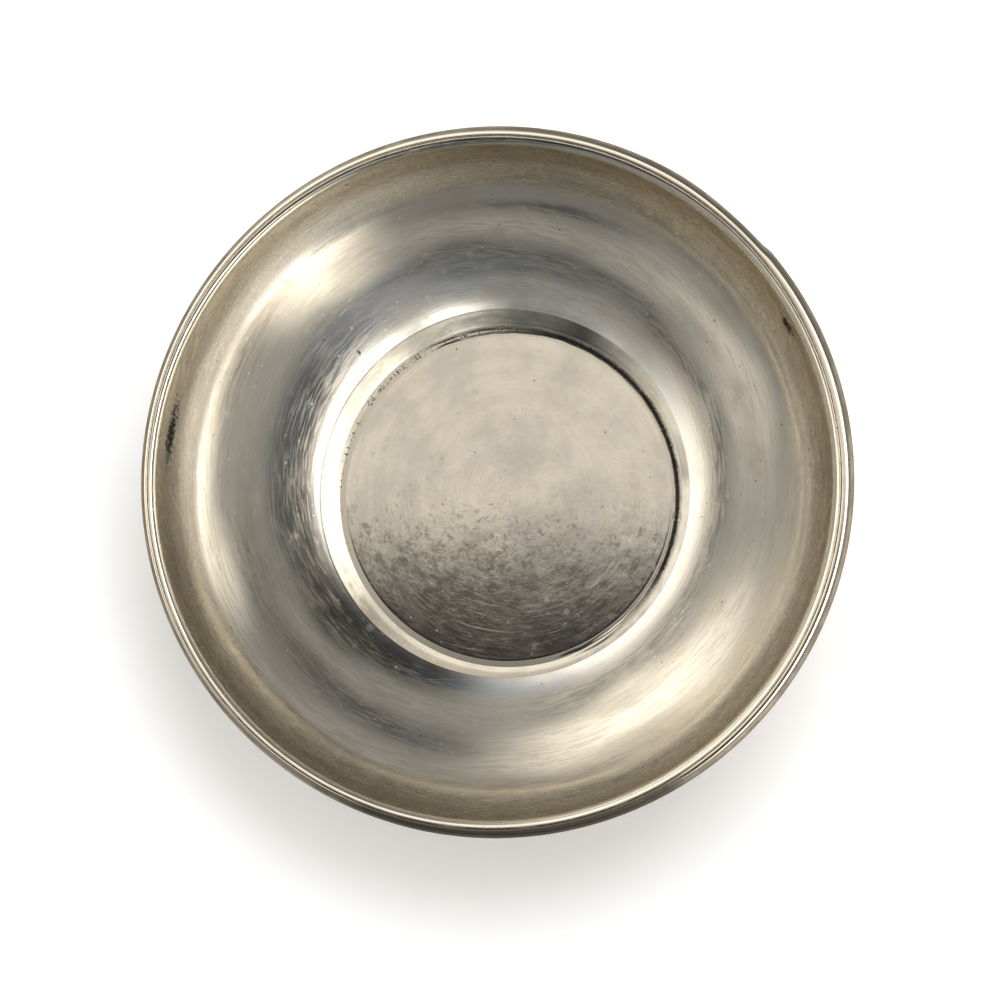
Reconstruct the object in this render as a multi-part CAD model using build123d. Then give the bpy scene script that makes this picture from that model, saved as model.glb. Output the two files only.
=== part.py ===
"""An offering bowl of aged silver: a raised sheet body with a soldered floor and two applied wires.

Millimetres. The origin is on the table under the centre of the bowl, and +Z is up.
Every section is drawn as (radius, height) and turned about Z.
"""

from build123d import *
import math
import os

# Overall sizes
RIM_DIAMETER = 110.0  # over the rim wire
OVERALL_HEIGHT = 34.6  # from the table to the crown of the lip

# Body, one raised sheet
BODY_SHEET = 1.1
LIP_WIDTH = 1.3  # the edge is hammered thicker than the sheet
LIP_ROUND = 1.2  # quarter round on the inside of the lip
COLLAR_DEPTH = 7.5  # upright band under the lip
COLLAR_SLOPE = 80.0  # degrees from level
COLLAR_ROUND = 14.0  # inside the turn from wall to collar
WALL_RADIUS = 55.0  # hollow curve of the wall
THROAT_DIAMETER = 59.5  # where the wall turns down into the well
THROAT_ROUND = 3.0
WELL_DEPTH = 9.0  # from the throat to the floor

# Floor disc, let into the bottom of the well
FLOOR_DIAMETER = 53.0
FLOOR_SHEET = 1.1
FLOOR_RECESS = 1.4  # gap between the table and the underside of the floor
FLOOR_EDGE_ROUND = 0.4
FLOOR_SEAM = 0.55  # gap round the disc, filled with solder
FLOOR_GROOVE = 0.35  # how far the solder lies below the floor

# Rim wire, round with a flat filed along its back
RIM_WIRE_DIAMETER = 2.4
RIM_WIRE_STAND = 1.5  # how far it stands out from its seam
RIM_WIRE_DROP = 0.15  # its top lies this far below the crown of the lip
RIM_SEAM = 0.12
RIM_GROOVE = 0.35  # depth of the line left between lip and wire

# Foot wire, round with one flat filed to fit the well and one to stand on
FOOT_WIRE_DIAMETER = 2.6
FOOT_WIRE_STAND = 1.9  # how far it stands out from its seam
FOOT_WIRE_FLAT = 0.2  # depth of the flat that it stands on
FOOT_SEAM = 0.12
FOOT_GROOVE = 0.3  # the solder stays this far above the table

# Solder left showing in the corner beside each wire
SOLDER_LEG = 0.5

# Each wire is closed by a slanting joint
JOINT_GAP = 0.3
JOINT_SLANT = 35.0  # degrees from upright
RIM_JOINT_AZIMUTH = 39.0
FOOT_JOINT_AZIMUTH = 219.0


def polar(length, degrees):
    """The section vector of this length, at this angle from level."""
    angle = math.radians(degrees)
    return Vector(length * math.cos(angle), length * math.sin(angle))


def at_level(point, degrees, level):
    """The point at this level on the line through a point at this angle from level."""
    return point + polar((level - point.Y) / math.sin(math.radians(degrees)), degrees)


def meet(point, degrees, centre, radius):
    """The nearer crossing of the line through a point at this angle with a circle."""
    along = polar(1, degrees)
    middle = point + along * (centre - point).dot(along)
    half_chord = math.sqrt(radius**2 - (middle - centre).length ** 2)
    crossings = [middle + along * half_chord, middle - along * half_chord]
    return min(crossings, key=lambda crossing: (crossing - point).length)


def turn(section):
    """The solid that a section makes when it is turned about Z."""
    return revolve(Plane.XZ * section, Axis.Z, 360)


# Radii and levels that several pieces share
rim_back = RIM_DIAMETER / 2 - RIM_WIRE_STAND
lip_outside = rim_back - RIM_SEAM
lip_line = Vector(lip_outside - LIP_WIDTH, OVERALL_HEIGHT - LIP_ROUND)
collar_foot = at_level(lip_line, COLLAR_SLOPE, lip_line.Y - COLLAR_DEPTH)
floor_top = FLOOR_RECESS + FLOOR_SHEET
floor_edge = Vector(FLOOR_DIAMETER / 2, floor_top)
well_foot = floor_edge + Vector(FLOOR_SEAM, 0)
throat = Vector(THROAT_DIAMETER / 2, floor_top + WELL_DEPTH)
well_slope = math.degrees(math.atan2(throat.Y - well_foot.Y, throat.X - well_foot.X))

# Centre of the wall's hollow curve, inside the bowl
wall_chord = collar_foot - throat
wall_rise = math.degrees(math.atan2(wall_chord.Y, wall_chord.X))
centre_distance = math.sqrt(WALL_RADIUS**2 - (wall_chord.length / 2) ** 2)
wall_centre = throat + wall_chord / 2 + polar(centre_distance, wall_rise + 90)


def well_face(depth):
    """A point on the well's side at this depth behind the face that holds the offering."""
    return throat + polar(depth, well_slope - 90)


def collar_face(depth):
    """A point on the collar at this depth behind the face that holds the offering."""
    return lip_line + polar(depth, COLLAR_SLOPE - 90)


def body_corners(depth):
    """Table, throat, hollow of the wall and foot of the collar at this depth in the sheet."""
    radius = WALL_RADIUS + depth
    base = at_level(well_face(depth), well_slope, 0)
    bend = meet(well_face(depth), well_slope, wall_centre, radius)
    hollow = wall_centre + polar(radius, wall_rise - 90)
    collar_point = at_level(collar_face(depth), COLLAR_SLOPE, collar_foot.Y)
    collar = meet(collar_point, COLLAR_SLOPE, wall_centre, radius)
    return base, bend, hollow, collar


def body_section():
    """The sheet up the well, the wall and the collar, with the thickened lip on top."""
    base, bend, hollow, collar = body_corners(0)
    base_out, bend_out, hollow_out, collar_out = body_corners(BODY_SHEET)
    crown = Vector(lip_line.X + LIP_ROUND, OVERALL_HEIGHT)
    collar_end = collar_face(BODY_SHEET)
    lip_rise = (lip_outside - collar_end.X) * math.tan(math.radians(COLLAR_SLOPE))
    lip_foot = Vector(lip_outside, collar_end.Y + lip_rise)
    with BuildSketch() as section:
        with BuildLine():
            Line(base, bend)
            ThreePointArc(bend, hollow, collar)
            Line(collar, lip_line)
            TangentArc(lip_line, crown, tangent=(0, 1))
            Polyline(crown, (lip_outside, OVERALL_HEIGHT), lip_foot, collar_out)
            ThreePointArc(collar_out, hollow_out, bend_out)
            Polyline(bend_out, base_out, base)
        make_face()
        fillet(section.vertices().sort_by_distance(bend)[0], THROAT_ROUND)
        fillet(section.vertices().sort_by_distance(bend_out)[0], THROAT_ROUND - BODY_SHEET)
        fillet(section.vertices().sort_by_distance(collar)[0], COLLAR_ROUND)
        fillet(section.vertices().sort_by_distance(collar_out)[0], COLLAR_ROUND + BODY_SHEET)
    return section.sketch


def floor_section():
    """A disc whose edge slants with the well and is rounded on top."""
    under = at_level(floor_edge, well_slope, FLOOR_RECESS)
    with BuildSketch() as section:
        with BuildLine():
            Polyline((0, floor_top), floor_edge, under, (0, FLOOR_RECESS), close=True)
        make_face()
        fillet(section.vertices().sort_by_distance(floor_edge)[0], FLOOR_EDGE_ROUND)
    return section.sketch


def wire_section(centre, diameter, back, back_slope):
    """A round wire, filed away inside the line through its back and below the table."""
    reach = 4 * diameter  # past the whole wire
    with BuildSketch() as section:
        with Locations(centre):
            Circle(diameter / 2)
        with Locations(back):
            turned = back_slope - 90
            Rectangle(reach, reach, turned, (Align.MAX, Align.CENTER), Mode.SUBTRACT)
        with Locations((centre.X, 0)):
            Rectangle(reach, reach, 0, (Align.CENTER, Align.MAX), Mode.SUBTRACT)
    return section.sketch


def filled(corners, *pieces):
    """Solder: the area inside these corners that the pieces leave free."""
    area = make_face(Polyline(*corners, close=True))
    for piece in pieces:
        area -= piece
    return area


def joint_slab(centre, diameter, azimuth):
    """The slanting gap across a wire where its two ends meet."""
    reach = 4 * diameter  # past the whole wire
    slab = Pos(centre.X, 0, centre.Y) * Rot(X=JOINT_SLANT) * Box(reach, JOINT_GAP, reach)
    return Rot(Z=azimuth) * slab


body = body_section()
floor = floor_section()

# Rim wire and the solder between it and the lip
rim_centre = Vector(
    RIM_DIAMETER / 2 - RIM_WIRE_DIAMETER / 2,
    OVERALL_HEIGHT - RIM_WIRE_DROP - RIM_WIRE_DIAMETER / 2,
)
rim = wire_section(rim_centre, RIM_WIRE_DIAMETER, Vector(rim_back, rim_centre.Y), 90)
rim_under = rim_centre.Y - RIM_WIRE_DIAMETER / 2
rim_fill_top = OVERALL_HEIGHT - RIM_GROOVE
rim_solder = filled(
    [
        at_level(collar_face(BODY_SHEET / 2), COLLAR_SLOPE, rim_under - SOLDER_LEG),
        (rim_centre.X, rim_under),
        (rim_centre.X, rim_fill_top),
        at_level(collar_face(BODY_SHEET / 2), COLLAR_SLOPE, rim_fill_top),
    ],
    body,
    rim,
)

# Foot wire and the solder between it and the well
foot_level = FOOT_WIRE_DIAMETER / 2 - FOOT_WIRE_FLAT
foot_depth = BODY_SHEET + FOOT_SEAM
foot_back = at_level(well_face(foot_depth), well_slope, foot_level)
foot_middle = foot_depth + FOOT_WIRE_STAND - FOOT_WIRE_DIAMETER / 2
foot_centre = at_level(well_face(foot_middle), well_slope, foot_level)
foot = wire_section(foot_centre, FOOT_WIRE_DIAMETER, foot_back, well_slope)
foot_over = foot_centre.Y + FOOT_WIRE_DIAMETER / 2
foot_solder = filled(
    [
        at_level(well_face(BODY_SHEET / 2), well_slope, FOOT_GROOVE),
        (foot_centre.X, FOOT_GROOVE),
        (foot_centre.X, foot_over),
        at_level(well_face(BODY_SHEET / 2), well_slope, foot_over + SOLDER_LEG),
    ],
    body,
    foot,
)

# Solder round the floor, from its underside to just below its top
floor_fill_top = floor_top - FLOOR_GROOVE
under_edge = floor_edge.X - FLOOR_SHEET - FLOOR_EDGE_ROUND
floor_solder = filled(
    [
        (under_edge, FLOOR_RECESS),
        at_level(well_face(BODY_SHEET / 2), well_slope, FLOOR_RECESS),
        at_level(well_face(BODY_SHEET / 2), well_slope, floor_fill_top),
        (under_edge, floor_fill_top),
    ],
    body,
    floor,
)

rim_ring = turn(rim)
foot_ring = turn(foot)
rim_slab = joint_slab(rim_centre, RIM_WIRE_DIAMETER, RIM_JOINT_AZIMUTH)
foot_slab = joint_slab(foot_centre, FOOT_WIRE_DIAMETER, FOOT_JOINT_AZIMUTH)

nodes = {
    "bowl_body": turn(body),
    "floor_disc": turn(floor),
    "rim_wire": rim_ring - rim_slab,
    "foot_wire": foot_ring - foot_slab,
    "floor_solder": turn(floor_solder),
    "rim_solder": turn(rim_solder),
    "foot_solder": turn(foot_solder),
    "rim_joint_solder": rim_ring & rim_slab,
    "foot_joint_solder": foot_ring & foot_slab,
}

os.makedirs("parts", exist_ok=True)
for name, shape in nodes.items():
    export_step(shape, f"parts/{name}.step")
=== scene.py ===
"""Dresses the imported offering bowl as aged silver, on a white floor in soft studio light.

Sections are drawn as (radius, height) in millimetres and turned about Z, in the frame's axes.
"""

import math

import bpy
import numpy as np
from mathutils import Matrix, Vector


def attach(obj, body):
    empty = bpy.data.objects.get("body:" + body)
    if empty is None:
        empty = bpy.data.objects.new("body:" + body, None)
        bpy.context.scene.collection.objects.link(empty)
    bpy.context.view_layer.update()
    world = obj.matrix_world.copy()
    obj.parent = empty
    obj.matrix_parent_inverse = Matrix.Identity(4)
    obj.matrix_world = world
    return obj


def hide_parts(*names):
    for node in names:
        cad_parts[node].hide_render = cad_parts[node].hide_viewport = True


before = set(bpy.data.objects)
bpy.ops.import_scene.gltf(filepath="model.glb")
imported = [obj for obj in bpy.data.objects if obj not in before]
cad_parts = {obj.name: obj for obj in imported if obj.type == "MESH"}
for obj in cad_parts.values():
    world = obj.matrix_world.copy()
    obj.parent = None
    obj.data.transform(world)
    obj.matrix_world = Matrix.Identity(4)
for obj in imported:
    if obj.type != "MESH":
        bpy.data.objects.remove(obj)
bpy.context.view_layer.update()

MM = 0.001

# Body
RIM_RADIUS = 55.0
HEIGHT = 34.6
SHEET = 1.1
LIP_WIDTH = 1.3
LIP_ROUND = 1.2
COLLAR_DEPTH = 7.5
COLLAR_SLOPE = 80.0
COLLAR_ROUND = 14.0
WALL_RADIUS = 55.0
THROAT_RADIUS = 29.5
THROAT_ROUND = 0.05  # the shoulder is crisper than the solid's
WELL_DEPTH = 9.0

# Floor disc and its seam
FLOOR_RADIUS = 26.85
FLOOR_SHEET = 1.1
FLOOR_RECESS = 1.4
FLOOR_EDGE_ROUND = 0.4
FLOOR_SEAM = 0.55
FLOOR_GROOVE = 0.35

# Wires
RIM_WIRE = 2.4
RIM_WIRE_STAND = 1.5
RIM_WIRE_DROP = 0.15
RIM_SEAM = 0.12
RIM_GROOVE = 0.35
FOOT_WIRE = 2.6
FOOT_WIRE_STAND = 1.9
FOOT_WIRE_FLAT = 0.2
FOOT_SEAM = 0.12
SOLDER_LEG = 0.5
RIM_JOINT = 39.0
FOOT_JOINT = 219.0

EDGE = 0.12  # every worn edge is eased by this much
STEPS = 400  # round the bowl
INSIDE_POINTS = 72  # along the wall's curve, on the face that holds the offering
OUTSIDE_POINTS = 40
LIP_POINTS = 14
FLOOR_POINTS = 60  # across the top of the floor
FLOOR_MIDDLE = 0.02  # the floor's mesh starts this far from the axis


def polar(length, degrees):
    """The section vector of this length, at this angle from level."""
    angle = math.radians(degrees)
    return Vector((length * math.cos(angle), length * math.sin(angle)))


def at_level(point, degrees, level):
    """The point at this level on the line through a point at this angle."""
    return point + polar((level - point.y) / math.sin(math.radians(degrees)), degrees)


def meet(point, degrees, centre, radius):
    """The nearer crossing of the line through a point at this angle with a circle."""
    along = polar(1, degrees)
    middle = point + along * (centre - point).dot(along)
    half_chord = math.sqrt(radius**2 - (middle - centre).length_squared)
    crossings = [middle + along * half_chord, middle - along * half_chord]
    return min(crossings, key=lambda crossing: (crossing - point).length)


def slope_of(vector):
    """The angle of a section vector from level, in degrees."""
    return math.degrees(math.atan2(vector.y, vector.x))


def arc(centre, radius, start, end, count):
    """Points of an arc from one angle to another."""
    return [centre + polar(radius, start + (end - start) * k / count) for k in range(count + 1)]


def run(start, end, count):
    """Points of a straight run, both ends included."""
    return [start.lerp(end, k / count) for k in range(count + 1)]


def eased(before, corner, after, reach=EDGE, count=3):
    """A corner cut back by a short curve."""
    start = corner + (before - corner).normalized() * reach
    end = corner + (after - corner).normalized() * reach
    points = []
    for k in range(count + 1):
        share = k / count
        points.append(start.lerp(corner, share).lerp(corner.lerp(end, share), share))
    return points


# Points that several pieces share
rim_back = RIM_RADIUS - RIM_WIRE_STAND
lip_outside = rim_back - RIM_SEAM
lip_line = Vector((lip_outside - LIP_WIDTH, HEIGHT - LIP_ROUND))
collar_foot = at_level(lip_line, COLLAR_SLOPE, lip_line.y - COLLAR_DEPTH)
floor_top = FLOOR_RECESS + FLOOR_SHEET
well_foot = Vector((FLOOR_RADIUS + FLOOR_SEAM, floor_top))
throat = Vector((THROAT_RADIUS, floor_top + WELL_DEPTH))
well_slope = slope_of(throat - well_foot)
wall_chord = collar_foot - throat
wall_rise = slope_of(wall_chord)
centre_distance = math.sqrt(WALL_RADIUS**2 - (wall_chord.length / 2) ** 2)
wall_centre = throat + wall_chord / 2 + polar(centre_distance, wall_rise + 90)


def well_face(depth):
    """A point on the well's side at this depth in the sheet."""
    return throat + polar(depth, well_slope - 90)


def collar_face(depth):
    """A point on the collar at this depth in the sheet."""
    return lip_line + polar(depth, COLLAR_SLOPE - 90)


collar_centre = meet(
    collar_face(-COLLAR_ROUND) - polar(COLLAR_DEPTH, COLLAR_SLOPE),
    COLLAR_SLOPE,
    wall_centre,
    WALL_RADIUS - COLLAR_ROUND,
)


def body_side(depth, count):
    """The sheet's face at this depth, from the table up to the top of the collar."""
    radius = WALL_RADIUS + depth
    base = at_level(well_face(depth), well_slope, 0)
    bend = meet(well_face(depth), well_slope, wall_centre, radius)
    beyond = bend + polar(THROAT_ROUND, well_slope - 90)
    throat_centre = meet(beyond, well_slope, wall_centre, radius + THROAT_ROUND)
    bend_start = throat_centre + polar(THROAT_ROUND, well_slope + 90)
    wall_start = slope_of(throat_centre - wall_centre)
    wall_end = slope_of(collar_centre - wall_centre)
    points = run(base, bend_start, count // 4)
    points += arc(throat_centre, THROAT_ROUND, well_slope + 90, wall_start + 180, count // 6)[1:]
    points += arc(wall_centre, radius, wall_start, wall_end, count)[1:]
    points += arc(collar_centre, COLLAR_ROUND + depth, wall_end, COLLAR_SLOPE - 90, count // 4)[1:]
    points += run(points[-1], collar_face(depth), count // 6)[1:]
    return points


def body_loop():
    """The closed section of the body, up the inside and down the outside."""
    inside = body_side(0, INSIDE_POINTS)
    outside = body_side(SHEET, OUTSIDE_POINTS)
    crown = Vector((lip_line.x + LIP_ROUND, HEIGHT))
    lip = arc(crown - Vector((0, LIP_ROUND)), LIP_ROUND, 180, 90, LIP_POINTS)
    corner = Vector((lip_outside, HEIGHT))
    lip_rise = (lip_outside - outside[-1].x) * math.tan(math.radians(COLLAR_SLOPE))
    lip_foot = Vector((lip_outside, outside[-1].y + lip_rise))
    points = inside + lip[1:]
    points += eased(crown, corner, lip_foot, reach=EDGE / 2)
    points += [lip_foot] + outside[::-1]
    points = points[1:-1] + eased(outside[1], outside[0], inside[0])
    return points + eased(outside[0], inside[0], inside[1])


def floor_loop():
    """Half the section of the floor disc, from the middle of its top to the middle below."""
    corner = Vector((FLOOR_RADIUS, floor_top))
    under = at_level(corner, well_slope, FLOOR_RECESS)
    middle_top = Vector((FLOOR_MIDDLE, floor_top))
    middle_under = Vector((FLOOR_MIDDLE, FLOOR_RECESS))
    edge = eased(middle_top, corner, under, FLOOR_EDGE_ROUND, count=8)
    points = run(middle_top, edge[0], FLOOR_POINTS) + edge[1:]
    points += eased(edge[-1], under, middle_under)
    return points + run(under, middle_under, FLOOR_POINTS // 2)[2:]


def wire_loop(centre, diameter, back, back_slope, count=48):
    """A round section, filed flat inside the line through its back and below the table."""
    inward = polar(1, back_slope + 90)
    points = []
    for k in range(count):
        point = centre + polar(diameter / 2, 360 * k / count)
        excess = (point - back).dot(inward)
        if excess > 0:
            point -= inward * excess
        if point.y < 0:
            point.y = 0
        points.append(point)
    return points


def turned(name, loop, shift=None, start=0.0, sweep=360.0, closed=True, steps=STEPS):
    """The mesh that a section makes when it is turned about Z, with flat ends if it stops short."""
    section = np.array([(point.x, point.y) for point in loop])
    following = np.roll(section, -1, 0)
    if np.sum(section[:, 0] * following[:, 1] - following[:, 0] * section[:, 1]) < 0:
        section = section[::-1]  # so that the faces look outwards
    count = len(section)
    whole = sweep == 360.0
    rings = steps if whole else steps + 1
    azimuth = np.radians(start + sweep * np.arange(rings) / steps)[:, None]
    azimuth = np.repeat(azimuth, count, 1)
    radius = np.repeat(section[None, :, 0], rings, 0)
    height = np.repeat(section[None, :, 1], rings, 0)
    if shift is not None:
        azimuth, radius, height = shift(azimuth, radius, height)
    places = np.stack([radius * np.cos(azimuth), radius * np.sin(azimuth), height], -1)
    places = places.reshape(-1, 3)
    faces = []
    for ring in range(rings if whole else rings - 1):
        here = ring * count
        there = (ring + 1) % rings * count
        for k in range(count if closed else count - 1):
            up = (k + 1) % count
            faces.append((here + k, there + k, there + up, here + up))
    if not whole:
        places = np.concatenate([places, places[:count], places[-count:]])
        faces.append(tuple(range(rings * count, (rings + 1) * count)))
        faces.append(tuple(reversed(range((rings + 1) * count, (rings + 2) * count))))
    mesh = bpy.data.meshes.new(name)
    mesh.from_pydata((places * MM).tolist(), [], faces)
    mesh.validate()
    mesh.shade_smooth()
    piece = bpy.data.objects.new(name, mesh)
    bpy.context.collection.objects.link(piece)
    return piece


# Hand work: the mouth lies a little off the axis, the rim wire stands out more on the other side,
# and the sheet wavers between the throat and the collar
MOUTH_SHIFT = 0.23
MOUTH_AZIMUTH = 200.0
WIRE_SHIFT = 0.22
WIRE_AZIMUTH = 20.0
WAVER = 0.014
WAVER_EASE = 4.0  # it sets in over this height above the throat, and fades over it below the lip
WAVER_END = HEIGHT - 2.0
WAVER_TURNS = ((2, 0.21, 0.4), (3, 0.33, 2.1), (5, 0.27, 4.0), (7, 0.45, 1.2), (11, 0.38, 5.1))
DENT = 0.30  # a stretch of the wire beside its joint lies this much further in
DENT_REACH = 21.0  # degrees
DENT_EASE = 2.5
JOINT_LINE = 0.04  # open line left at each joint
JOINT_FILL = 3 * JOINT_LINE  # width of the solder in it, which reaches into both ends
JOINT_SINK = 0.03  # and lies this much lower
JOINT_SLANT = 35.0
JOINT_NEAR = 1.0  # degrees from a joint in which the wire has the whole slant
RIM_SLANT_REACH = 4.0  # degrees from the joint in which it has some
FOOT_SLANT_REACH = 6.0


def share_of(value, low, high):
    """How far a value is from low to high, eased at both ends."""
    share = np.clip((value - low) / (high - low), 0, 1)
    return share * share * (3 - 2 * share)


def mouth_lean(azimuth):
    """How far the mouth is drawn out on this side."""
    return MOUTH_SHIFT * np.cos(azimuth - math.radians(MOUTH_AZIMUTH))


def body_shift(azimuth, radius, height):
    """The mouth's lean, and the waver of the sheet between throat and collar."""
    waver = sum(
        np.cos(turns * azimuth + phase) * np.cos(beat * (radius + height) + phase)
        for turns, beat, phase in WAVER_TURNS
    )
    waver *= WAVER * share_of(height, throat.y, throat.y + WAVER_EASE)
    waver *= share_of(height, WAVER_END, WAVER_END - WAVER_EASE)
    lean = mouth_lean(azimuth) * np.clip((height - throat.y) / (HEIGHT - throat.y), 0, 1)
    return azimuth, radius + lean - waver, height + waver


def joint_slant(after, centre, radius, height, reach):
    """How far round a wire's ends are drawn, so that they meet on a slant."""
    near = share_of(after, reach, JOINT_NEAR) + share_of(after, 360 - reach, 360 - JOINT_NEAR)
    return (centre.y - height) * math.tan(math.radians(JOINT_SLANT)) / radius * near


def rim_shift(azimuth, radius, height):
    """The wire follows the lip at its back, stands out in front and is dented beside its joint."""
    share = np.clip((radius - rim_back) / RIM_WIRE_STAND, 0, 1)
    front = WIRE_SHIFT * np.cos(azimuth - math.radians(WIRE_AZIMUTH))
    after = np.mod(np.degrees(azimuth) - RIM_JOINT, 360)
    dent = DENT * share_of(after, DENT_REACH, DENT_REACH / 3) * share_of(after, 0, DENT_EASE)
    slant = joint_slant(after, rim_centre, radius, height, RIM_SLANT_REACH)
    radius = radius + mouth_lean(azimuth) * (1 - share) + (front - dent) * share
    return azimuth + slant, radius, height


def foot_shift(azimuth, radius, height):
    """The foot wire's ends meet on the same slant."""
    after = np.mod(np.degrees(azimuth) - FOOT_JOINT, 360)
    slant = joint_slant(after, foot_centre, radius, height, FOOT_SLANT_REACH)
    return azimuth + slant, radius, height


def wire(name, loop, centre, joint, shift):
    """A wire bent round to a joint, with its ends a line apart."""
    gap = math.degrees(JOINT_LINE / math.cos(math.radians(JOINT_SLANT)) / centre.x)
    return turned(name, loop, shift, start=joint + gap / 2, sweep=360.0 - gap)


def joint_fill(name, loop, centre, joint, shift):
    """The solder in a wire's joint, a little sunk, reaching into both ends."""
    reach = math.degrees(JOINT_FILL / centre.x)
    sunk = [centre + (point - centre) * (1 - JOINT_SINK) for point in loop]
    return turned(name, sunk, shift, start=joint - reach / 2, sweep=reach, steps=4)


body = turned("silver_body", body_loop(), body_shift)
floor_disc = turned("silver_floor", floor_loop(), closed=False)

rim_centre = Vector((RIM_RADIUS - RIM_WIRE / 2, HEIGHT - RIM_WIRE_DROP - RIM_WIRE / 2))
rim_loop = wire_loop(rim_centre, RIM_WIRE, Vector((rim_back, rim_centre.y)), 90)
rim_wire = wire("silver_rim", rim_loop, rim_centre, RIM_JOINT, rim_shift)

foot_level = FOOT_WIRE / 2 - FOOT_WIRE_FLAT
foot_depth = SHEET + FOOT_SEAM
foot_back = at_level(well_face(foot_depth), well_slope, foot_level)
foot_middle = foot_depth + FOOT_WIRE_STAND - FOOT_WIRE / 2
foot_centre = at_level(well_face(foot_middle), well_slope, foot_level)
foot_loop = wire_loop(foot_centre, FOOT_WIRE, foot_back, well_slope)
foot_wire = wire("silver_foot", foot_loop, foot_centre, FOOT_JOINT, foot_shift)
rim_joint = joint_fill("solder_rim_joint", rim_loop, rim_centre, RIM_JOINT, rim_shift)
foot_joint = joint_fill("solder_foot_joint", foot_loop, foot_centre, FOOT_JOINT, foot_shift)

# Solder
SEAM_OVERLAP = 0.08  # the solder runs this far into its neighbours
SEAM_COVER = 0.6  # and this far over the rounded edge of the floor
SEAM_DROP = 0.002  # it starts this far below the floor
SEAM_RISE = 0.012  # and ends this far above it on the well
SEAM_SUNK_AZIMUTH = math.radians(25.0)
SEAM_SUNK_FROM = (-0.15, 0.55)  # cosines of the turn from that side between which it sinks
SEAM_SUNK_RADII = (FLOOR_RADIUS - 0.05, FLOOR_RADIUS + 0.35)
SEAM_SUNK_HEIGHTS = (FLOOR_RECESS + 0.3, floor_top - 0.2)
SEAM_UNEVEN = 0.12
SEAM_TURNS = (7, 11, 18, 29, 43, 61)  # waves round the bowl that make it uneven
SEAM_SEED = 3
SEAM_POINTS = 16  # across its top
RIM_FILL_DIP = 0.1  # the solder dips this far beside the lip and the wire
RIM_FILL_LEAN = 0.02  # and lies this much lower at the wire than at the lip
RIM_FILL_END = 0.25  # it ends this far above the bottom of the wire
LIP_FILL_END = 0.3
RIM_FILL_HEIGHTS = (HEIGHT - RIM_GROOVE - 0.5, HEIGHT - RIM_GROOVE - 0.1)  # where it turns uneven
RIM_FILL_UNEVEN = 0.08
RIM_FILL_TURNS = (9, 13, 23, 37, 59)
RIM_FILL_SEED = 5


def ripple(azimuth, turns, seed):
    """An uneven value round the bowl, between -1 and 1."""
    draws = np.random.default_rng(seed).uniform(0, 2 * math.pi, len(turns))
    return sum(np.cos(n * azimuth + phase) for n, phase in zip(turns, draws)) / len(turns)


def floor_solder_loop():
    """The seam between the floor and the well, flush with the floor."""
    outer = at_level(well_face(SEAM_OVERLAP), well_slope, floor_top + SEAM_RISE)
    inner = Vector((FLOOR_RADIUS - SEAM_COVER, floor_top - SEAM_DROP))
    return run(inner, outer, SEAM_POINTS) + [
        at_level(well_face(SEAM_OVERLAP), well_slope, FLOOR_RECESS),
        Vector((FLOOR_RADIUS - FLOOR_SHEET, FLOOR_RECESS)),
    ]


def floor_solder_shift(azimuth, radius, height):
    """Flush on the left and below, and sunk beside the well, with a ragged edge, on the right."""
    sunk = share_of(np.cos(azimuth - SEAM_SUNK_AZIMUTH), *SEAM_SUNK_FROM)
    uneven = ripple(azimuth, SEAM_TURNS, SEAM_SEED)
    beside = share_of(radius + SEAM_UNEVEN * uneven, *SEAM_SUNK_RADII)
    top = share_of(height, *SEAM_SUNK_HEIGHTS)
    return azimuth, radius, height - FLOOR_GROOVE * sunk * beside * top


def rim_solder_loop():
    """The line between lip and wire, and the small fillet below them."""
    top = HEIGHT - RIM_GROOVE
    under = rim_centre.y - RIM_WIRE / 2
    collar = at_level(collar_face(SHEET - SEAM_OVERLAP), COLLAR_SLOPE, under - SOLDER_LEG)
    return [
        collar,
        Vector((rim_back + SEAM_OVERLAP * 2, under + RIM_FILL_END)),
        Vector((rim_back + SEAM_OVERLAP * 2, top - RIM_FILL_DIP)),
        Vector((rim_back, top - RIM_FILL_LEAN)),
        Vector((lip_outside, top)),
        Vector((lip_outside - SEAM_OVERLAP, top - RIM_FILL_DIP)),
        Vector((lip_outside - SEAM_OVERLAP * 2, under + LIP_FILL_END)),
    ]


def rim_solder_shift(azimuth, radius, height):
    """The solder follows the lip, and its top is uneven."""
    top = share_of(height, *RIM_FILL_HEIGHTS)
    uneven = ripple(azimuth, RIM_FILL_TURNS, RIM_FILL_SEED)
    return azimuth, radius + mouth_lean(azimuth), height + RIM_FILL_UNEVEN * uneven * top


floor_solder = turned("solder_floor", floor_solder_loop(), floor_solder_shift)
rim_solder = turned("solder_rim", rim_solder_loop(), rim_solder_shift)

pieces = {
    body: "bowl_body",
    floor_disc: "floor_disc",
    rim_wire: "rim_wire",
    foot_wire: "foot_wire",
    floor_solder: "floor_solder",
    rim_solder: "rim_solder",
    rim_joint: "rim_joint_solder",
    foot_joint: "foot_joint_solder",
}
for piece, node in pieces.items():
    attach(piece, "root")
    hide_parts(node)


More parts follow.
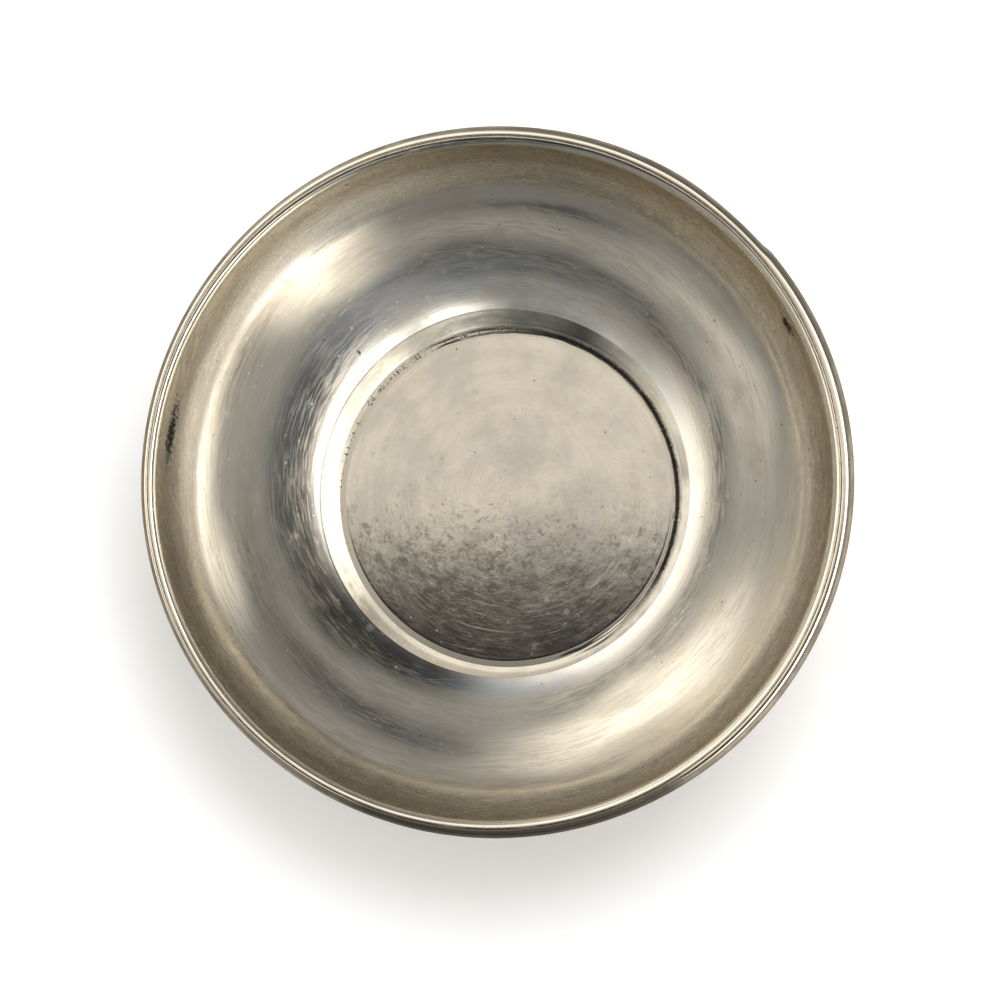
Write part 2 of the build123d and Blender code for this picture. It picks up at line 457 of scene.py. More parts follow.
class Nodes:
    """Short calls that add nodes to a tree. A value may be a number, a tuple or a socket."""

    def __init__(self, owner):
        owner.use_nodes = True
        self.owner = owner
        self.tree = owner.node_tree
        self.shader = self.tree.nodes.get("Principled BSDF")

    def add(self, kind, **settings):
        node = self.tree.nodes.new("ShaderNode" + kind)
        for name, value in settings.items():
            setattr(node, name, value)
        return node

    def put(self, socket, value):
        if isinstance(value, bpy.types.NodeSocket):
            self.tree.links.new(value, socket)
        else:
            socket.default_value = value

    def fill(self, node, values):
        """Puts values into the named inputs of a node."""
        for name, value in values.items():
            self.put(node.inputs[name], value)

    def math(self, operation, first, second=0.0, third=0.0):
        node = self.add("Math", operation=operation)
        for socket, value in zip(node.inputs, (first, second, third)):
            self.put(socket, value)
        return node.outputs[0]

    def times(self, first, second):
        return self.math("MULTIPLY", first, second)

    def mean(self, first, second):
        return self.times(self.math("ADD", first, second), 0.5)

    def most(self, *values):
        """The largest of several values."""
        largest = values[0]
        for value in values[1:]:
            largest = self.math("MAXIMUM", largest, value)
        return largest

    def vector(self, operation, first, second=(0, 0, 0)):
        node = self.add("VectorMath", operation=operation)
        self.put(node.inputs[0], first)
        self.put(node.inputs["Scale"] if operation == "SCALE" else node.inputs[1], second)
        return node.outputs["Value"] if operation in ("LENGTH", "DOT_PRODUCT") else node.outputs[0]

    def join(self, x, y, z):
        node = self.add("CombineXYZ")
        for socket, value in zip(node.inputs, (x, y, z)):
            self.put(socket, value)
        return node.outputs[0]

    def split(self, value):
        """The three parts of a vector or a colour."""
        node = self.add("SeparateXYZ")
        self.put(node.inputs[0], value)
        return node.outputs

    def step(self, value, low, high, start=0.0, end=1.0):
        """Eased from start to end while the value goes from low to high."""
        node = self.add("MapRange", interpolation_type="SMOOTHSTEP")
        values = {"Value": value, "From Min": low, "From Max": high, "To Min": start, "To Max": end}
        self.fill(node, values)
        return node.outputs[0]

    def between(self, value, begin, end, most=1.0):
        """This much between two changes of the value, and 0 before and after them."""
        return self.times(self.step(value, *begin), self.step(value, *end, 0.0, most))

    def mix(self, share, first, second):
        node = self.add("Mix", data_type="RGBA")
        for socket, value in ((0, share), (6, first), (7, second)):
            self.put(node.inputs[socket], value)
        return node.outputs[2]

    def noise(self, place, scale, detail=2.0, roughness=0.5):
        node = self.add("TexNoise")
        self.fill(node, {"Vector": place, "Scale": scale, "Detail": detail, "Roughness": roughness})
        return node.outputs["Fac"]

    def cells(self, place, scale):
        """The distance to the nearest of many scattered points, and its three random values."""
        node = self.add("TexVoronoi", feature="F1")
        self.fill(node, {"Vector": place, "Scale": scale})
        return node.outputs["Distance"], self.split(node.outputs["Color"])

    def attribute(self, name):
        return self.add("Attribute", attribute_name=name).outputs["Fac"]

    def emboss(self, height, depth):
        """Relief of the surface: this many metres for a height of 1."""
        node = self.add("Bump")
        self.fill(node, {"Strength": 1.0, "Distance": depth, "Height": height})
        self.put(self.shader.inputs["Normal"], node.outputs[0])


# Colours of the metal and of what lies on it
SILVER = (0.855, 0.78, 0.64, 1)
WARM = (0.72, 0.65, 0.51, 1)
COOL = (0.70, 0.635, 0.51, 1)
CLEAN = (0.89, 0.935, 0.975, 1)
DULL = (0.72, 0.735, 0.75, 1)
# tarnish, and painted shade standing in for dark reflections on the wall
STAIN_AND_SHADE = (0.17, 0.17, 0.17, 1)
BROWN = (0.50, 0.42, 0.32, 1)
# blue-grey patina, and painted cool reflection on the wall
BLUE = (0.58, 0.62, 0.68, 1)
# tarnish, and painted shade darkening the crease where the wall turns into the collar
TURN_TINT = (0.43, 0.40, 0.35, 1)
# dark pits, and the painted shade on the wires' lower edge
PIT_AND_SHADE = (0.10, 0.085, 0.07, 1)
MOTTLE = (0.53, 0.50, 0.45, 1)
COLLAR_TINT = (0.67, 0.61, 0.52, 1)
# painted highlight: the pale colour that the collar is given on its upper left side
COLLAR_HIGHLIGHT = (0.95, 0.93, 0.88, 1)
# tarnish, and painted shade on the floor's lower side
BURNT_AND_SHADE = (0.29, 0.25, 0.20, 1)
# tarnish, and painted shade on the outward faces of the wires
TARNISH_AND_SHADE = (0.19, 0.157, 0.118, 1)
WIRE_EDGE_TINT = (0.30, 0.26, 0.21, 1)
SPARK = (0.94, 0.92, 0.86, 1)
SPOT = (0.84, 0.80, 0.70, 1)
BLACK = (0.022, 0.019, 0.016, 1)
SOLDER_DARK = (0.06, 0.05, 0.04, 1)
SOLDER_PALE = (0.26, 0.23, 0.18, 1)
SEAM_DARK = (0.05, 0.045, 0.04, 1)
SEAM_PALE = (0.64, 0.58, 0.48, 1)

# Sides of the bowl, as directions out from the axis
WIRE_SHADED_SIDE = (0.05, -0.9987, 0)  # painted shade: the wire is painted black towards the lower edge, for the dark it reflects there
COLLAR_HIGHLIGHT_SIDE = (-0.80, 0.60, 0)  # painted highlight: the collar is painted lighter towards the upper left, where it mirrors the wall's bright patch
FLOOR_SHADED_SIDE = (-0.10, -0.995, 0)  # the floor is brown and rough towards the lower edge: tarnish, and painted shade for the dark it reflects there
FLOOR_CUT_SIDE = (0.10, -0.995, 0)  # and has its deepest scratches there
SEAM_DARK_SIDE = (0.91, 0.42, 0)  # the floor's seam is open and dark towards the upper right
SEAM_PIT_SIDE = (-0.34, 0.94, 0)  # and pitted towards the top

# Heights on the body, and radii on the floor and its seam, between which a change sets in
COLLAR_FROM = (21.8, 26.0)
COLLAR_TO = (33.8, 33.2)
TURN_FROM = (22.2, 23.4)
TURN_TO = (27.0, 24.5)
WELL_FROM = (throat.y + 1.5, throat.y - 1.5)
STROKES_FROM = (throat.y - 0.5, throat.y + 1.5)
FLOOR_CUTS_FROM = (14.0, 17.0)
FLOOR_CUTS_TO = (24.5, 22.0)
SEAM_DARK_FROM = (FLOOR_RADIUS + 0.25, FLOOR_RADIUS + 0.55)


def position(nodes):
    """The place in mm."""
    return nodes.vector("SCALE", nodes.add("TexCoord").outputs["Object"], 1 / MM)


def around(nodes, place):
    """The radius, the height and the direction out from the axis."""
    x, y, height = nodes.split(place)
    flat = nodes.join(x, y, 0.0)
    return nodes.vector("LENGTH", flat), height, nodes.vector("NORMALIZE", flat)


def ringwise(nodes, along, outward, across, round_by):
    """A place for noise that is stretched into rings: fine across them and long round them."""
    x, y, _ = nodes.split(nodes.vector("SCALE", outward, round_by))
    return nodes.join(nodes.times(along, across), x, y)


def strokes_round(nodes, place, centre, across, length):
    """Fine strokes on circles round a point off the axis."""
    off = nodes.vector("MULTIPLY", nodes.vector("SUBTRACT", place, (*centre, 0)), (1, 1, 0))
    distance = nodes.vector("LENGTH", off)
    outward = nodes.vector("NORMALIZE", off)
    return nodes.noise(ringwise(nodes, distance, outward, across, length), 1.0, 2.0)


def water_spots(nodes, place):
    """Small pale discs of several sizes, in patches."""
    distance, draws = nodes.cells(place, 0.42)
    reach = nodes.math("MULTIPLY_ADD", draws[0], 0.24, 0.05)
    disc = nodes.step(nodes.math("SUBTRACT", distance, reach), 0.04, -0.06)
    return nodes.times(disc, nodes.step(nodes.noise(place, 0.07, 2.0), 0.44, 0.60))


def specks(nodes, place):
    """Tiny bright dots where the tarnished skin is worn through, and tiny dark pits."""
    distance, draws = nodes.cells(place, 0.95)
    dot = nodes.step(nodes.math("SUBTRACT", distance, nodes.times(draws[0], 0.17)), 0.03, -0.02)
    bright = nodes.times(dot, nodes.step(draws[1], 0.55, 0.56))
    return bright, nodes.times(dot, nodes.step(draws[1], 0.11, 0.10))


class Silver(Nodes):
    """Aged silver in the making. Each layer changes its colour, its roughness or its relief."""

    def __init__(self, name, gloss, brushing, hazing, mottling, unevenness):
        """The bare metal, with fine rings from turning, broad bands and haze."""
        super().__init__(bpy.data.materials.new(name))
        self.place = position(self)
        self.radius, self.height, self.outward = around(self, self.place)
        along = self.math("ADD", self.radius, self.height)
        self.fine = self.noise(ringwise(self, along, self.outward, 3.0, 2.2), 1.0, 3.0, 0.6)
        self.haze = self.noise(self.place, 0.16, 5.0, 0.6)
        bands = self.noise(ringwise(self, along, self.outward, 0.45, 0.9), 1.0, 2.0)
        clouds = self.noise(self.place, 0.12, 4.0, 0.6)
        self.colour = SILVER
        self.tint(self.step(bands, 0.35, 0.72, 0.0, 0.55), WARM)
        self.tint(self.step(self.fine, 0.48, 0.78, 0.0, 0.30), WARM)
        self.tint(self.step(self.haze, 0.48, 0.74, 0.0, 0.40), COOL)
        self.tint(self.step(clouds, 0.42, 0.62, 0.0, mottling), MOTTLE)
        self.roughness = self.step(self.fine, 0.40, 0.75, gloss, gloss + brushing)
        self.roughen(self.step(self.haze, 0.45, 0.75, 0.0, hazing))
        self.relief = self.math("MULTIPLY_ADD", bands, 1.2, self.fine)
        self.lift(self.noise(self.place, 0.3, 3.0), unevenness)

    def tint(self, share, colour):
        """This share of another colour on top."""
        self.colour = self.mix(share, self.colour, colour)

    def roughen(self, share, amount=1.0):
        self.roughness = self.math("MULTIPLY_ADD", share, amount, self.roughness)

    def lift(self, share, amount):
        self.relief = self.math("MULTIPLY_ADD", share, amount, self.relief)

    def towards(self, side):
        """How far a place lies towards this side: 1 there and -1 on the other side."""
        return self.vector("DOT_PRODUCT", self.outward, side)

    def patch_shows(self, name, unevenness, share):
        """How much of a painted patch of tarnish and painted shade shows."""
        return self.step(self.times(self.attribute(name), unevenness), 0.10, 0.62, 0.0, share)

    def wear_and_light_collar(self):
        """Brown satin on the collar, darkest at its turn with tarnish and painted shade in the
        crease, and a painted highlight on one side, where it mirrors the wall's bright patch.
        """
        collar = self.between(self.height, COLLAR_FROM, COLLAR_TO)
        # tarnish and painted shade: darker in the crease where the wall turns into the collar
        turn = self.between(self.height, TURN_FROM, TURN_TO, 0.6)
        # painted highlight: lighter towards the upper left, where the collar mirrors the wall's
        # bright patch
        painted_highlight = self.step(self.towards(COLLAR_HIGHLIGHT_SIDE), 0.60, 0.97, 0.0, 0.75)
        self.tint(self.times(collar, self.step(self.fine, 0.42, 0.66, 0.35, 0.75)), COLLAR_TINT)
        self.tint(turn, TURN_TINT)
        self.tint(self.times(painted_highlight, collar), COLLAR_HIGHLIGHT)
        self.roughen(turn, 0.12)
        self.roughen(collar, 0.09)

    def wear_sides(self):
        """Clean, mottled metal in the well and brown patina on the outside."""
        inside = self.attribute("inside")
        well = self.times(self.step(self.height, *WELL_FROM, 0.0, 0.85), inside)
        self.tint(well, self.mix(self.step(self.haze, 0.45, 0.62), CLEAN, DULL))
        patina = self.step(self.haze, 0.38, 0.66, 0.15, 0.6)
        self.tint(self.times(patina, self.math("SUBTRACT", 1.0, inside)), BROWN)

    def tarnish_and_shade(self):
        """The painted brown, blue and dark patches, ragged along the rings: tarnish, and painted
        shade and reflection where the wall mirrors darker and cooler parts of the room.
        """
        ragged = self.math("MULTIPLY_ADD", self.fine, 0.4, self.haze)
        streaky = self.math("MULTIPLY_ADD", self.fine, 0.9, self.times(self.haze, 0.6))
        # dark patches: tarnish, and painted shade for dark reflections
        stain_and_shade = self.patch_shows("stain_and_shade", streaky, 0.8)
        # brown tarnish with painted shade, and blue-grey patina with painted cool reflection
        self.tint(self.patch_shows("brown", ragged, 0.7), BROWN)
        self.tint(self.patch_shows("blue", ragged, 0.6), BLUE)
        self.tint(stain_and_shade, STAIN_AND_SHADE)
        self.roughen(stain_and_shade, 0.06)

    def spot(self, share):
        """Pale water spots and clouds."""
        spots = water_spots(self, self.place)
        clouds = self.step(self.noise(self.place, 0.33, 3.0, 0.55), 0.50, 0.66, 0.0, 0.6 * share)
        self.tint(self.most(self.times(spots, share), clouds), SPOT)
        self.roughen(spots, 0.12 * share)

    def burn_and_shade(self):
        """A rough brown skin over one side of the floor, with a ragged border: tarnish, and painted
        shade for the dark that the floor reflects on that side.
        """
        low = self.vector("DOT_PRODUCT", self.place, FLOOR_SHADED_SIDE)
        low = self.times(low, 0.55 / FLOOR_RADIUS)
        grain = self.noise(ringwise(self, self.radius, self.outward, 0.75, 7.0), 1.0, 7.0, 0.75)
        grit = self.math("MULTIPLY_ADD", grain, 1.7, -0.85)
        # tarnish and painted shade: the dark skin towards the lower side
        skin = self.step(self.math("ADD", low, grit), 0.13, 0.42, 0.0, 0.72)
        self.tint(skin, BURNT_AND_SHADE)
        self.roughen(skin, 0.04)
        self.lift(skin, 3.0)

    def scratch(self, strokes, lines, scuffing):
        """Fine strokes, longer lines, bright specks and dark pits."""
        sparks, pits = specks(self, self.place)
        self.tint(self.step(strokes, 0.50, 0.58, 0.0, scuffing), COOL)
        self.tint(self.times(pits, 0.7), PIT_AND_SHADE)
        self.tint(self.math("MULTIPLY_ADD", lines, 0.4, self.times(sparks, 0.5)), SPARK)
        self.roughen(self.step(strokes, 0.44, 0.58, -0.03 * scuffing, 0.08 * scuffing))
        self.roughen(self.most(lines, sparks), 0.09)
        self.lift(strokes, 4.2 * scuffing)

    def handle(self):
        """Brown on the front of a wire, tarnish and painted shade on its outward faces, and painted
        shade in black towards the lower edge.
        """
        # tarnish and painted shade: darker on the faces that look outwards, in patches
        front = self.vector("DOT_PRODUCT", self.add("NewGeometry").outputs["Normal"], self.outward)
        front = self.step(self.math("MULTIPLY_ADD", self.haze, 0.3, front), 0.35, 0.75)
        patches = self.noise(self.place, 0.2, 4.0, 0.65)
        front = self.times(front, self.step(patches, 0.36, 0.62, 0.72, 0.9))
        # painted shade: black towards the lower edge, standing in for the dark the wire reflects
        # there
        low = self.math("MULTIPLY_ADD", self.haze, 0.14, self.towards(WIRE_SHADED_SIDE))
        low = self.step(low, 0.88, 1.02, 0.0, 0.9)
        self.tint(front, TARNISH_AND_SHADE)
        self.tint(low, PIT_AND_SHADE)
        self.roughen(self.most(front, low), 0.25)
        self.shader.inputs["Specular Tint"].default_value = WIRE_EDGE_TINT

    def corrode(self):
        """The painted black marks, pitted and with a gritty border."""
        grit = self.math("MULTIPLY_ADD", self.noise(self.place, 2.4, 4.0, 0.75), 2.4, -1.2)
        black = self.step(self.math("ADD", self.attribute("marks"), grit), 0.55, 0.70)
        self.tint(black, BLACK)
        self.roughen(black, 0.4)
        self.lift(black, -4.0)

    def finish(self, tone, sheen, depth):
        """The material: this bright, its sheen drawn out round the axis, its relief this deep."""
        self.put(self.shader.inputs["Base Color"], self.vector("SCALE", self.colour, tone))
        self.put(self.shader.inputs["Roughness"], self.roughness)
        self.shader.inputs["Metallic"].default_value = 1.0
        self.shader.inputs["Anisotropic"].default_value = sheen
        self.shader.inputs["Anisotropic Rotation"].default_value = 0.25
        tangent = self.add("Tangent", direction_type="RADIAL", axis="Z")
        self.put(self.shader.inputs["Tangent"], tangent.outputs[0])
        self.emboss(self.relief, depth)
        return self.owner


def wall_scratches(metal):
    """Fine strokes nearly along the rings, weaker in the well, and longer marks of wiping."""
    strokes = metal.mean(
        strokes_round(metal, metal.place, (3.0, 2.0), 3.8, 10.0),
        strokes_round(metal, metal.place, (-5.0, 3.0), 3.4, 8.0),
    )
    lines = metal.most(
        metal.step(strokes_round(metal, metal.place, (16.0, 11.0), 4.6, 4.0), 0.68, 0.82),
        metal.step(strokes_round(metal, metal.place, (-9.0, 14.0), 4.6, 3.6), 0.68, 0.80),
    )
    return metal.times(strokes, metal.step(metal.height, *STROKES_FROM, 0.6, 1.0)), lines


def floor_scratches(metal):
    """Rings nearly round the floor's middle, strokes across them, and deep cuts on one side."""
    strokes = metal.mean(
        strokes_round(metal, metal.place, (1.2, 0.6), 4.0, 4.0),
        strokes_round(metal, metal.place, (30.0, 70.0), 4.6, 60.0),
    )
    band = metal.between(metal.radius, FLOOR_CUTS_FROM, FLOOR_CUTS_TO)
    band = metal.times(band, metal.step(metal.towards(FLOOR_CUT_SIDE), 0.1, 0.6))
    cuts = metal.step(strokes_round(metal, metal.place, (0.6, 1.5), 2.6, 2.0), 0.60, 0.70)
    lines = metal.most(
        metal.step(strokes_round(metal, metal.place, (-2.0, 3.0), 4.4, 2.6), 0.67, 0.79),
        metal.step(strokes_round(metal, metal.place, (1.0, 2.0), 5.0, 2.2), 0.68, 0.80),
        metal.times(cuts, band),
    )
    return strokes, lines


def body_metal():
    """The raised sheet, worn inside and dull outside."""
    metal = Silver(
        "body_silver", gloss=0.12, brushing=0.03, hazing=0.035, mottling=0.15, unevenness=3.0
    )
    metal.wear_and_light_collar()
    metal.wear_sides()
    metal.tarnish_and_shade()
    metal.spot(0.35)
    metal.scratch(*wall_scratches(metal), scuffing=0.6)
    metal.corrode()
    return metal.finish(tone=1.0, sheen=0.55, depth=1.2e-6)


def floor_metal():
    """The floor disc, spotted and scratched, and burnt on one side, with painted shade there."""
    metal = Silver(
        "floor_silver", gloss=0.05, brushing=0.02, hazing=0.03, mottling=0.4, unevenness=20.0
    )
    metal.spot(0.6)
    metal.burn_and_shade()
    metal.scratch(*floor_scratches(metal), scuffing=0.2)
    return metal.finish(tone=0.89, sheen=0.3, depth=0.35e-6)


def wire_metal():
    """The wires, polished on top by handling, with tarnish and painted shade on their fronts."""
    metal = Silver(
        "wire_silver", gloss=0.11, brushing=0.03, hazing=0.03, mottling=0.15, unevenness=3.0
    )
    metal.spot(0.15)
    metal.handle()
    return metal.finish(tone=1.0, sheen=0.4, depth=1.2e-6)


def solder_metal():
    """Solder, tarnished dark and pitted, with some bright metal left."""
    nodes = Nodes(bpy.data.materials.new("solder"))
    place = position(nodes)
    grain = nodes.noise(place, 1.6, 4.0, 0.65)
    bright = nodes.step(nodes.noise(place, 0.25, 2.0), 0.5, 0.7)
    colour = nodes.mix(nodes.step(grain, 0.4, 0.62), SOLDER_DARK, SOLDER_PALE)
    nodes.put(nodes.shader.inputs["Base Color"], nodes.mix(bright, colour, WARM))
    nodes.put(nodes.shader.inputs["Roughness"], nodes.step(grain, 0.3, 0.7, 0.65, 0.35))
    nodes.shader.inputs["Metallic"].default_value = 1.0
    nodes.emboss(grain, 6e-5)
    return nodes.owner


def seam_metal():
    """The floor's seam: pale on the left, pitted at the top, dark beside the well on the right."""
    nodes = Nodes(bpy.data.materials.new("seam"))
    place = position(nodes)
    radius, _, outward = around(nodes, place)
    grain = nodes.noise(place, 2.6, 3.0, 0.65)
    sunk = nodes.step(nodes.vector("DOT_PRODUCT", outward, SEAM_DARK_SIDE), 0.20, 0.70)
    pitted = nodes.vector("DOT_PRODUCT", outward, SEAM_PIT_SIDE)
    pits = nodes.step(nodes.math("MULTIPLY_ADD", pitted, 0.10, grain), 0.61, 0.70, 0.0, 0.8)
    beside = nodes.step(nodes.math("MULTIPLY_ADD", grain, 0.5, radius), *SEAM_DARK_FROM)
    dark = nodes.times(nodes.most(sunk, pits), beside)
    nodes.put(nodes.shader.inputs["Base Color"], nodes.mix(dark, SEAM_PALE, SEAM_DARK))
    nodes.put(nodes.shader.inputs["Roughness"], nodes.step(dark, 0.0, 1.0, 0.08, 0.5))
    nodes.shader.inputs["Metallic"].default_value = 1.0
    return nodes.owner


# Corroded places on the body: azimuth, half width in degrees, height, half height and strength
MARKS = (
    (-189.0, 8.0, 29.4, 2.1, 0.88),
    (28.0, 2.8, 29.4, 1.9, 0.92),
    (-243.5, 1.6, 31.8, 0.5, 0.5),
    (66.0, 1.2, 31.4, 0.5, 0.5),
    (38.0, 0.8, 32.1, 0.4, 0.5),
    (135.8, 0.5, 12.7, 0.25, 0.95),
)
# Stained places on it, tarnish and painted shade where the wall mirrors dark parts of the room:
# azimuth, half width in degrees, radius, half width and strength
STAINS_AND_SHADE = (
    (-118.0, 30.0, 41.5, 2.6, 0.60),
    (-70.0, 24.0, 46.5, 1.2, 0.42),
    (-165.0, 30.0, 35.0, 3.0, 0.48),
    (80.0, 36.0, 35.5, 1.8, 0.48),
    (80.0, 22.0, 45.0, 1.2, 0.66),
    (122.0, 13.0, 47.4, 0.9, 0.75),
    (95.0, 28.0, 28.6, 1.1, 0.54),
    (95.0, 24.0, 52.7, 0.5, 0.9),
)
# Brown patches, tarnish and painted shade where the wall mirrors darker parts of the room: same
# columns as the stains
BROWNS = (
    (-150.0, 38.0, 40.8, 2.4, 1.0),
    (150.0, 25.0, 46.5, 2.0, 0.8),
    (20.0, 40.0, 40.0, 2.0, 0.6),
)
# Blue-grey patches, patina and painted cool reflection where the wall mirrors dark cool parts of
# the room: same columns as the stains
BLUES = (
    (125.0, 70.0, 35.5, 4.5, 0.9),
    (-95.0, 40.0, 31.5, 1.6, 0.9),
)
INSIDE_LIMIT = 0.15  # a normal that looks out or down by more than this is on the outside


def nearness(turn, wide, off, tall):
    """A soft patch: 1 in its middle, falling off both ways."""
    return np.exp(-((((turn + 180) % 360 - 180) / wide) ** 2) - (off / tall) ** 2)


def vertex_values(mesh, name):
    """A vector of every vertex of a mesh."""
    values = np.empty(len(mesh.vertices) * 3)
    mesh.vertices.foreach_get(name, values)
    return values.reshape(-1, 3)


def paint(mesh):
    """Writes which points of the body lie inside, and how near each is to a mark or a patch of
    tarnish and painted shade.
    """
    points = vertex_values(mesh, "co") / MM
    normals = vertex_values(mesh, "normal")
    azimuth = np.degrees(np.arctan2(points[:, 1], points[:, 0]))
    radius = np.hypot(points[:, 0], points[:, 1])
    facing_out = (normals[:, 0] * points[:, 0] + normals[:, 1] * points[:, 1]) / radius
    inside = np.where((facing_out < INSIDE_LIMIT) & (normals[:, 2] > -INSIDE_LIMIT), 1.0, 0.0)
    mesh.attributes.new("inside", "FLOAT", "POINT").data.foreach_set("value", inside)
    for name, patches, level in (
        ("marks", MARKS, points[:, 2]),
        ("stain_and_shade", STAINS_AND_SHADE, radius),
        ("brown", BROWNS, radius),
        ("blue", BLUES, radius),
    ):
        value = np.zeros(len(points))
        for centre, wide, middle, tall, strength in patches:
            patch = nearness(azimuth - centre, wide, level - middle, tall)
            value = np.maximum(value, strength * patch)
        mesh.attributes.new(name, "FLOAT", "POINT").data.foreach_set("value", value * inside)


paint(body.data)
wire_silver = wire_metal()
solder = solder_metal()
for piece, material in (
    (body, body_metal()),
    (floor_disc, floor_metal()),
    (rim_wire, wire_silver),
    (foot_wire, wire_silver),
    (floor_solder, seam_metal()),
    (rim_solder, solder),
    (rim_joint, wire_silver),
    (foot_joint, wire_silver),
):
    piece.data.materials.append(material)
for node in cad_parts.values():
    if not node.hide_render:
        for k in range(len(node.material_slots)):
            node.material_slots[k].material = solder

# Ground
GROUND_REACH = 4.0
GROUND_SIDES = 64
GROUND_WHITE = (0.95, 0.95, 0.95, 1)
GROUND_GLOW = 0.12  # plain white that the camera and the silver see on top of its own
ground_mesh = bpy.data.meshes.new("ground")
ground_turns = [2 * math.pi * k / GROUND_SIDES for k in range(GROUND_SIDES)]
ground_mesh.from_pydata(
    [(GROUND_REACH * math.cos(turn), GROUND_REACH * math.sin(turn), 0) for turn in ground_turns],
    [],
    [tuple(range(GROUND_SIDES))],
)
ground = bpy.data.objects.new("ground", ground_mesh)
bpy.context.collection.objects.link(ground)
nodes = Nodes(bpy.data.materials.new("ground"))
nodes.shader.inputs["Base Color"].default_value = GROUND_WHITE
nodes.shader.inputs["Roughness"].default_value = 1
nodes.shader.inputs["Specular IOR Level"].default_value = 0
rays = nodes.add("LightPath").outputs
seen = nodes.most(rays["Is Camera Ray"], rays["Is Glossy Ray"], rays["Is Transmission Ray"])
glow = nodes.add("Emission")
nodes.put(glow.inputs["Strength"], nodes.times(seen, GROUND_GLOW))
both = nodes.add("AddShader")
nodes.put(both.inputs[0], nodes.shader.outputs[0])
nodes.put(both.inputs[1], glow.outputs[0])
nodes.put(nodes.tree.nodes["Material Output"].inputs["Surface"], both.outputs[0])
ground_mesh.materials.append(nodes.owner)

# Camera
VIEW_TILT = math.radians(6.64)
VIEW_AZIMUTH = math.radians(-49.9)
VIEW_TARGET = Vector((0.92, -3.11, 33.25)) * MM
VIEW_DISTANCE = 0.600
LENS = 140.5
camera = bpy.data.objects.new("camera", bpy.data.cameras.new("camera"))
bpy.context.collection.objects.link(camera)
back = Vector(
    (
        math.sin(VIEW_TILT) * math.cos(VIEW_AZIMUTH),
        math.sin(VIEW_TILT) * math.sin(VIEW_AZIMUTH),
        math.cos(VIEW_TILT),
    )
)
camera.location = VIEW_TARGET + back * VIEW_DISTANCE
camera.rotation_mode = "QUATERNION"
up = (Vector((0, 1, 0)) - back * back.y).normalized()
camera.rotation_quaternion = Matrix((up.cross(back), up, back)).transposed().to_quaternion()
camera.data.lens = LENS
camera.data.clip_start = 0.01
bpy.context.scene.camera = camera

# Light: a pale room, a scrim overhead, soft boxes round it and the photographer at the lower edge
ROOM = 0.36
SCRIM = 0.52
SCRIM_EDGE = 38.0  # degrees from the zenith
SCRIM_SOFT = 5.0
# Azimuth, angle from the zenith, half width, half height, soft edges of both, strength
BOXES = {
    "scrim_left": (150, 41, 45, 8.5, 25, 3.5, 1.2),
    "scrim_right": (-25, 27.3, 62, 7.5, 18, 1.5, 3.6),
    "scrim_top": (125, 25, 72, 7, 20, 3, 0.6),
    "window_upper_left": (125, 71, 22, 8, 22, 6, 1.4),
    "window_left": (200, 68, 24, 6, 23, 5, 0.4),
    "main_box": (-49, 72, 7, 12, 16, 7, 1.9),
    "window_right": (-16, 80, 40, 7.5, 16, 5, 1.7),
    "beam_right": (20, 45, 60, 8, 18, 4, -0.25),
    "beam_edge": (10, 38.5, 60, 3, 18, 1.5, -0.4),
    "beam_upper_right": (65, 44, 25, 5, 12, 3, -0.2),
    "wall_above": (69, 68, 50, 6, 21, 5, -0.15),
    "wall_below": (-120, 78, 55, 11, 24, 6, -0.16),
    "beam_left": (224, 52, 73, 3.5, 23, 4, -0.29),
    "lower_left": (-96, 30, 24, 9, 20, 6, -0.5),
}
LEAST = 0.03
DARK_COLOUR = (0.96, 1.0, 1.04, 1)
LIGHT_COLOUR = (1.03, 1.0, 0.96, 1)
# The photographer, as slopes of the ray: sideways from the zenith, and up or down
PERSON_MIDDLE = -0.05
PERSON_HALF = 0.42
PERSON_HEAD = 0.074
PERSON_FEET = -0.62
PERSON_SOFT = 0.1
PERSON_HEAD_SOFT = 0.012
PERSON_SHADE = 0.94


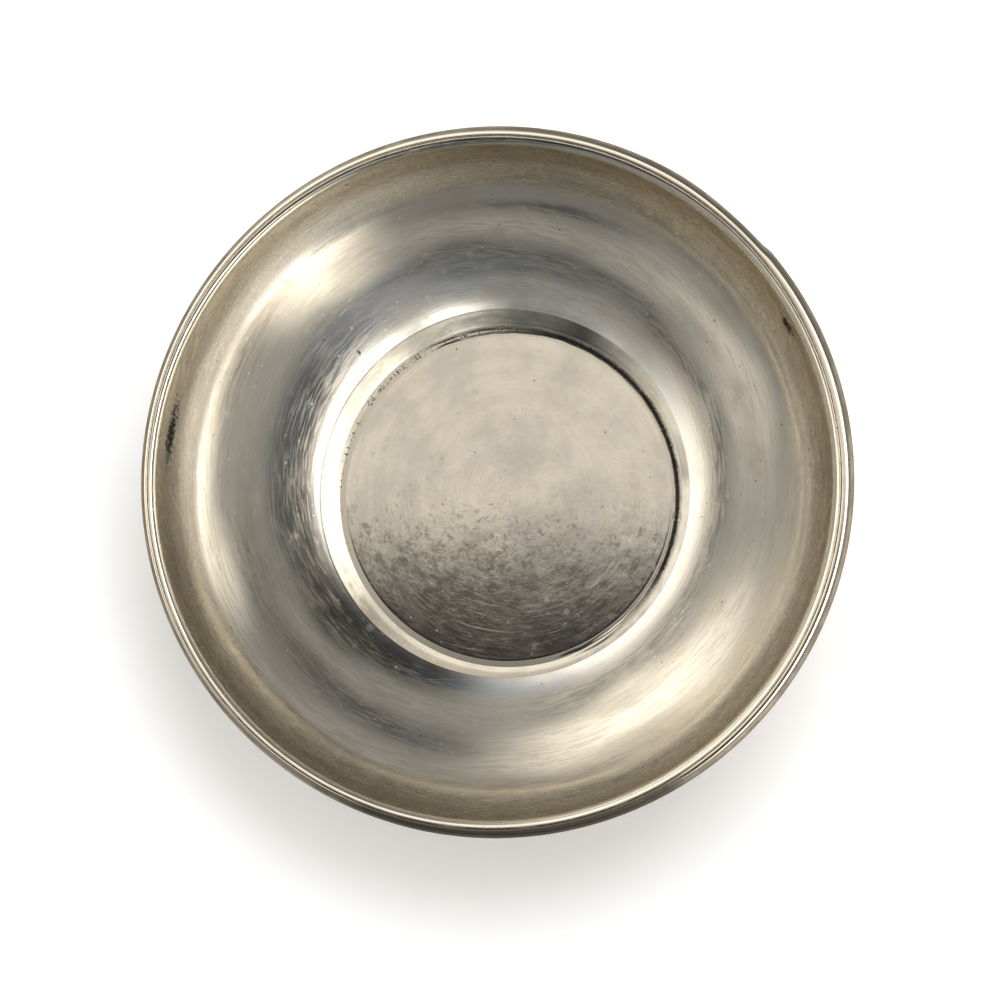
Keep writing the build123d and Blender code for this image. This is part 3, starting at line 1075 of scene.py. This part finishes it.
def studio(nodes):
    """The light that comes from each direction."""
    right, top, high = nodes.split(nodes.add("TexCoord").outputs["Generated"])
    azimuth = nodes.math("DEGREES", nodes.math("ARCTAN2", top, right))
    zenith = nodes.math("DEGREES", nodes.math("ARCCOSINE", high))
    light = nodes.step(zenith, SCRIM_EDGE + SCRIM_SOFT, SCRIM_EDGE - SCRIM_SOFT, ROOM, ROOM + SCRIM)
    for turn, tilt, wide, tall, wide_soft, tall_soft, strength in BOXES.values():
        across = nodes.math("WRAP", nodes.math("SUBTRACT", azimuth, turn), 180.0, -180.0)
        across = nodes.step(nodes.math("ABSOLUTE", across), wide + wide_soft, wide - wide_soft)
        along = nodes.math("ABSOLUTE", nodes.math("SUBTRACT", zenith, tilt))
        along = nodes.step(along, tall + tall_soft, tall - tall_soft, 0.0, strength)
        light = nodes.math("MULTIPLY_ADD", across, along, light)
    light = nodes.math("MAXIMUM", light, LEAST)
    aside = nodes.math("SUBTRACT", nodes.math("DIVIDE", right, high), PERSON_MIDDLE)
    aside = nodes.math("ABSOLUTE", aside)
    ahead = nodes.math("DIVIDE", top, high)
    outer, inner = PERSON_HALF + PERSON_SOFT, PERSON_HALF - PERSON_SOFT
    person = nodes.step(aside, outer, inner, 0.0, PERSON_SHADE)
    head = nodes.step(ahead, PERSON_HEAD + PERSON_HEAD_SOFT, PERSON_HEAD - PERSON_HEAD_SOFT)
    feet = nodes.step(ahead, PERSON_FEET - PERSON_SOFT, PERSON_FEET + PERSON_SOFT)
    for share in (head, feet, nodes.math("GREATER_THAN", high, 0.0)):
        person = nodes.times(person, share)
    light = nodes.times(light, nodes.math("SUBTRACT", 1.0, person))
    background = nodes.tree.nodes["Background"]
    colour = nodes.mix(nodes.step(light, 0.1, 0.9), DARK_COLOUR, LIGHT_COLOUR)
    nodes.put(background.inputs["Color"], colour)
    nodes.put(background.inputs["Strength"], light)


# A soft lamp over the upper right that draws the shadow on the floor
LAMP_AZIMUTH = math.radians(62.0)
LAMP_TILT = math.radians(27.0)
LAMP_DISTANCE = 1.3
LAMP_SIZE = 0.75
LAMP_POWER = 9.0
lamp_data = bpy.data.lights.new("shadow_lamp", "AREA")
lamp_data.shape = "DISK"
lamp_data.size = LAMP_SIZE
lamp_data.energy = LAMP_POWER
lamp = bpy.data.objects.new("shadow_lamp", lamp_data)
bpy.context.collection.objects.link(lamp)
lamp_side = Vector((math.cos(LAMP_AZIMUTH), math.sin(LAMP_AZIMUTH), 0)) * math.sin(LAMP_TILT)
lamp.location = (lamp_side + Vector((0, 0, math.cos(LAMP_TILT)))) * LAMP_DISTANCE
lamp.rotation_euler = lamp.location.to_track_quat("Z", "Y").to_euler()
lamp.visible_glossy = False
lamp.visible_camera = False

world = bpy.data.worlds.new("studio")
bpy.context.scene.world = world
studio(Nodes(world))
bpy.context.scene.view_settings.view_transform = "Standard"
